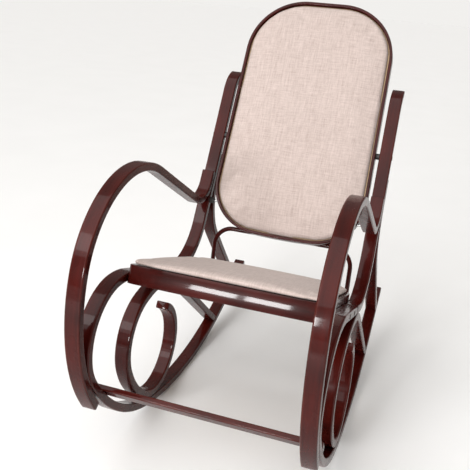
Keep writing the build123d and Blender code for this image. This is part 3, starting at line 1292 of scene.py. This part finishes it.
@dataclass
class BoltCovers:
    """Push-in covers over the side bolts."""

    radius: float = 0.006
    proud: float = 0.0009
    low: float = -0.0025
    edge: float = 0.0007

    def build(self, material: bpy.types.Material) -> None:
        """Model domed covers where the CAD caps sit.

        Args:
            material: Their finish.
        """
        bm = bmesh.new()
        source = bmesh.new()
        source.from_mesh(frame["nodes"]["bolt_caps"].data)
        bmesh.ops.remove_doubles(source, verts=source.verts[:], dist=1e-6)
        left = set(source.verts)
        while left:
            island = {left.pop()}
            grow = list(island)
            while grow:
                for edge in grow.pop().link_edges:
                    for vert in edge.verts:
                        if vert in left:
                            left.discard(vert)
                            island.add(vert)
                            grow.append(vert)
            middle = sum((vert.co for vert in island), Vector()) / len(island)
            outward = 1.0 if middle.x > 0 else -1.0
            face_x = max(abs(vert.co.x) for vert in island) * outward
            self._cover(bm, Vector((face_x, middle.y, middle.z)), outward)
        source.free()
        settle(to_object(bm, "bolt_covers", Matrix.Identity(4)), material, "bolt_caps")

    def _cover(self, bm: bmesh.types.BMesh, place: Vector, outward: float) -> None:
        """Add one low dome.

        Args:
            bm: Mesh to add it to.
            place: Middle of the cap's outer face.
            outward: 1 on the right of the chair, -1 on the left.
        """
        turn = Matrix.Translation(place) @ Matrix.Rotation(math.pi / 2.0 * outward, 4, "Y")
        made = bmesh.ops.create_cone(
            bm,
            cap_ends=True,
            segments=32,
            radius1=self.radius,
            radius2=self.radius,
            depth=self.proud - self.low,
            matrix=turn @ Matrix.Translation((0.0, 0.0, (self.proud + self.low) / 2.0)),
        )["verts"]
        rim = {e for v in made for e in v.link_edges if e.calc_face_angle(0.0) > 1.0}
        outer = [e for e in rim if all(abs(v.co.x) > abs(place.x) for v in e.verts)]
        soften(bm, outer, self.edge, 3)


# ---------------------------------------------------------------- studio


def aimed(place: Point, target: Point) -> Matrix:
    """Turn that points a light from a place to its target."""
    way = Vector(target) - Vector(place)
    return way.to_track_quat("-Z", "Y").to_matrix().to_4x4()


@dataclass(frozen=True)
class Softbox:
    """One soft area light."""

    name: str
    place: Point
    target: Point
    size: tuple[float, float]
    power: float

    def build(self) -> None:
        """Add the light."""
        data = bpy.data.lights.new(self.name, "AREA")
        data.shape = "RECTANGLE"
        data.size, data.size_y = self.size
        data.energy = self.power
        link(self.name, data, Matrix.Translation(self.place) @ aimed(self.place, self.target))


@dataclass
class Studio:
    """Pale floor, soft light and the camera."""

    layout: Layout
    azimuth: float = 0.2804
    elevation: float = 0.2434
    roll: float = 0.0936
    lens: float = 36.0 * 677.996 / 470.0
    shift: tuple[float, float] = (-0.0364, -0.0988)
    eye: Point = (391.72, -1035.63, 962.96)
    sun_power: float = 2.0
    sun_spread: float = 70.0
    sun_way: Point = (0.30, 0.55, -1.0)
    sky_low: Colour = (0.10, 0.095, 0.09)
    sky_high: Colour = (0.62, 0.60, 0.57)
    sky_top: float = 0.8
    backdrop: Colour = (0.885, 0.872, 0.850)

    def camera(self) -> None:
        """Place the camera."""
        a, e, r = self.azimuth, self.elevation, self.roll
        right = Vector((math.cos(a), math.sin(a), 0.0))
        ahead = Vector((-math.sin(a) * math.cos(e), math.cos(a) * math.cos(e), -math.sin(e)))
        up = right.cross(ahead)
        turned = right * math.cos(r) + up * math.sin(r)
        upright = up * math.cos(r) - right * math.sin(r)
        tilt = Matrix.Rotation(math.radians(self.layout.tilt), 3, "X")
        axes = tilt @ Matrix((turned, upright, -ahead)).transposed()
        data = bpy.data.cameras.new("camera")
        data.sensor_width = 36.0
        data.lens = self.lens
        data.shift_x, data.shift_y = self.shift
        stand = Matrix.Translation(self.layout.rest() @ Vector(self.eye))
        bpy.context.scene.camera = link("camera", data, stand @ axes.to_4x4())

    def floor(self) -> None:
        """Lay a pale floor."""
        bm = bmesh.new()
        bmesh.ops.create_grid(bm, x_segments=1, y_segments=1, size=30.0)
        piece = to_object(bm, "studio_floor", Matrix.Identity(4))
        low, high = (0.86, 0.86, 0.86), (0.9, 0.9, 0.9)
        finish = Plain("pale_floor", low, high, 0.0, 0.75, (3.0, 3.0, 3.0), 0.00001)
        piece.data.materials.append(finish.material())

    def daylight(self) -> None:
        """Light the whole floor evenly from a broad, high source."""
        data = bpy.data.lights.new("daylight", "SUN")
        data.energy = self.sun_power
        data.angle = math.radians(self.sun_spread)
        link("daylight", data, aimed((0.0, 0.0, 0.0), self.sun_way))

    def sky(self) -> None:
        """Light the room from a surround that is brighter overhead, behind a pale backdrop."""
        world = bpy.data.worlds.new("studio")
        world.use_nodes = True
        tree = world.node_tree
        tree.nodes.clear()
        coords = tree.nodes.new("ShaderNodeTexCoord")
        split = tree.nodes.new("ShaderNodeSeparateXYZ")
        ramp = tree.nodes.new("ShaderNodeValToRGB")
        ramp.color_ramp.elements[0].position = 0.0
        ramp.color_ramp.elements[0].color = (*self.sky_low, 1.0)
        ramp.color_ramp.elements[1].position = self.sky_top
        ramp.color_ramp.elements[1].color = (*self.sky_high, 1.0)
        path = tree.nodes.new("ShaderNodeLightPath")
        mix = tree.nodes.new("ShaderNodeMix")
        mix.data_type = "RGBA"
        mix.inputs[7].default_value = (*self.backdrop, 1.0)
        back = tree.nodes.new("ShaderNodeBackground")
        back.inputs["Strength"].default_value = 1.0
        out = tree.nodes.new("ShaderNodeOutputWorld")
        tree.links.new(coords.outputs["Generated"], split.inputs[0])
        tree.links.new(split.outputs["Z"], ramp.inputs["Fac"])
        tree.links.new(path.outputs["Is Camera Ray"], mix.inputs[0])
        tree.links.new(ramp.outputs["Color"], mix.inputs[6])
        tree.links.new(mix.outputs[2], back.inputs["Color"])
        tree.links.new(back.outputs[0], out.inputs[0])
        bpy.context.scene.world = world

    def build(self) -> None:
        """Set the scene."""
        self.camera()
        self.floor()
        self.sky()
        self.daylight()
        front = (0.1, -0.34, 0.44)
        for pane in (-0.98, -0.42):
            Softbox("window_pane", (pane, -3.3, 1.08), front, (0.46, 0.40), 34.0).build()
        Softbox("key", (-1.6, -3.0, 2.6), (0.0, -0.1, 0.4), (1.2, 1.0), 14.0).build()
        Softbox("fill", (3.0, 0.4, 1.6), (0.0, 0.0, 0.5), (1.5, 1.8), 3.0).build()
        bpy.context.scene.view_settings.view_transform = "Standard"


# ---------------------------------------------------------------- the chair


@dataclass
class Chair:
    """The whole chair."""

    layout: Layout = field(default_factory=Layout)
    frame_at: float = 233.5
    seat_slope: float = -16.7
    back_slope: float = 65.0
    back_gap: float = 7.6

    def dress_cad(self) -> None:
        """Give the kept CAD nodes their finishes."""
        steel = Plain("zinc_steel", (0.42, 0.42, 0.43), (0.62, 0.62, 0.62), 1.0, 0.34).material()
        brass = Plain("brass_insert", (0.55, 0.40, 0.16), (0.72, 0.55, 0.26), 1.0, 0.36).material()
        ply = Plain(
            "plywood", (0.38, 0.25, 0.14), (0.58, 0.42, 0.26), 0.0, 0.7, (4.0, 60.0, 60.0), 0.0002
        )
        along = (80.0, 8.0, 80.0)
        bare = Plain("bare_beech", (0.45, 0.28, 0.15), (0.6, 0.42, 0.25), 0.0, 0.65, along, 0.0001)
        black = Plain("black_spacer", (0.012, 0.010, 0.010), (0.022, 0.019, 0.018), 0.0, 0.5)
        finishes = {
            "zinc_steel": steel,
            "brass_insert": brass,
            "plywood": ply.material(),
            "bare_wood": bare.material(),
            "black_spacer": black.material(),
        }
        for entry in frame["record"]["subparts"]:
            material = finishes.get(entry["material_slot"])
            node = frame["nodes"].get(entry["node"])
            if material is None or node is None:
                continue
            node.data.materials.clear()
            node.data.materials.append(material)
            log.info("%s dressed", entry["node"])

    def build(self) -> None:
        """Model and dress every piece."""
        along = Lacquer("mahogany_strip", Pattern.ALONG).material()
        spread = Lacquer("mahogany_hoop", Pattern.SPACE).material()
        seat = self.layout.plane(189.0, 441.0, self.seat_slope)
        lean = math.radians(90.0 - self.back_slope)
        back = self.layout.plane(
            639.0 - self.back_gap * math.cos(lean),
            420.0 + self.back_gap * math.sin(lean),
            self.back_slope,
        )
        light, dark = (0.570, 0.475, 0.440), (0.355, 0.280, 0.250)
        seat_turn = math.radians(-self.seat_slope - self.layout.tilt)
        back_turn = math.radians(-self.back_slope - self.layout.tilt)
        seat_cloth = Linen("seat_linen", seat_turn, light, dark).material()
        back_cloth = Linen("back_linen", back_turn, light, dark).material()
        rear = Linen("rear_lining", back_turn, (0.42, 0.35, 0.30), (0.28, 0.22, 0.19))
        rear_cloth = rear.material()
        frames = [
            SideFrame("left", -self.frame_at, self.layout),
            SideFrame("right", self.frame_at, self.layout),
        ]
        for side in frames:
            side.build(along)
        Stretcher(self.layout, frames[0].main, frames[0].thick).build(along)
        BackBrace(self.layout, seat, back).build(along)
        Hoop("seat_hoop", SEAT_OUTLINE, seat, -40.0, 0.0, 20.0, 2.0).build(spread, "seat_ring")
        Hoop("back_hoop", BACK_OUTLINE, back, -34.0, 0.0, 8.0, 1.6).build(spread, "back_rim")
        Cushion("seat_cushion", SEAT_OUTLINE, seat, 2.6, 0.5, 10.0, 8.0, 0.005, 3.0).build(
            seat_cloth, "linen", "seat_pad"
        )
        Cushion("back_cushion", BACK_OUTLINE, back, 8.8, -11.5, 13.0, 11.0, 0.0052, 4.0).build(
            back_cloth, "linen", "back_pad"
        )
        FlatCloth("back_lining_cloth", BACK_OUTLINE, back, 16.6, -28.0, -25.2).build(
            rear_cloth, "lining", "back_lining"
        )
        cover = Plain("dark_cap", (0.030, 0.008, 0.006), (0.045, 0.012, 0.009), 0.0, 0.3).material()
        BoltCovers().build(cover)
        self.dress_cad()


def record_sizes() -> None:
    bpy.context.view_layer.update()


def main() -> None:
    """Build the chair and its studio in order."""
    Chair().build()
    log.info("chair built")
    Studio(Layout()).build()
    log.info("studio built")
    record_sizes()


if __name__ == "__main__":
    main()
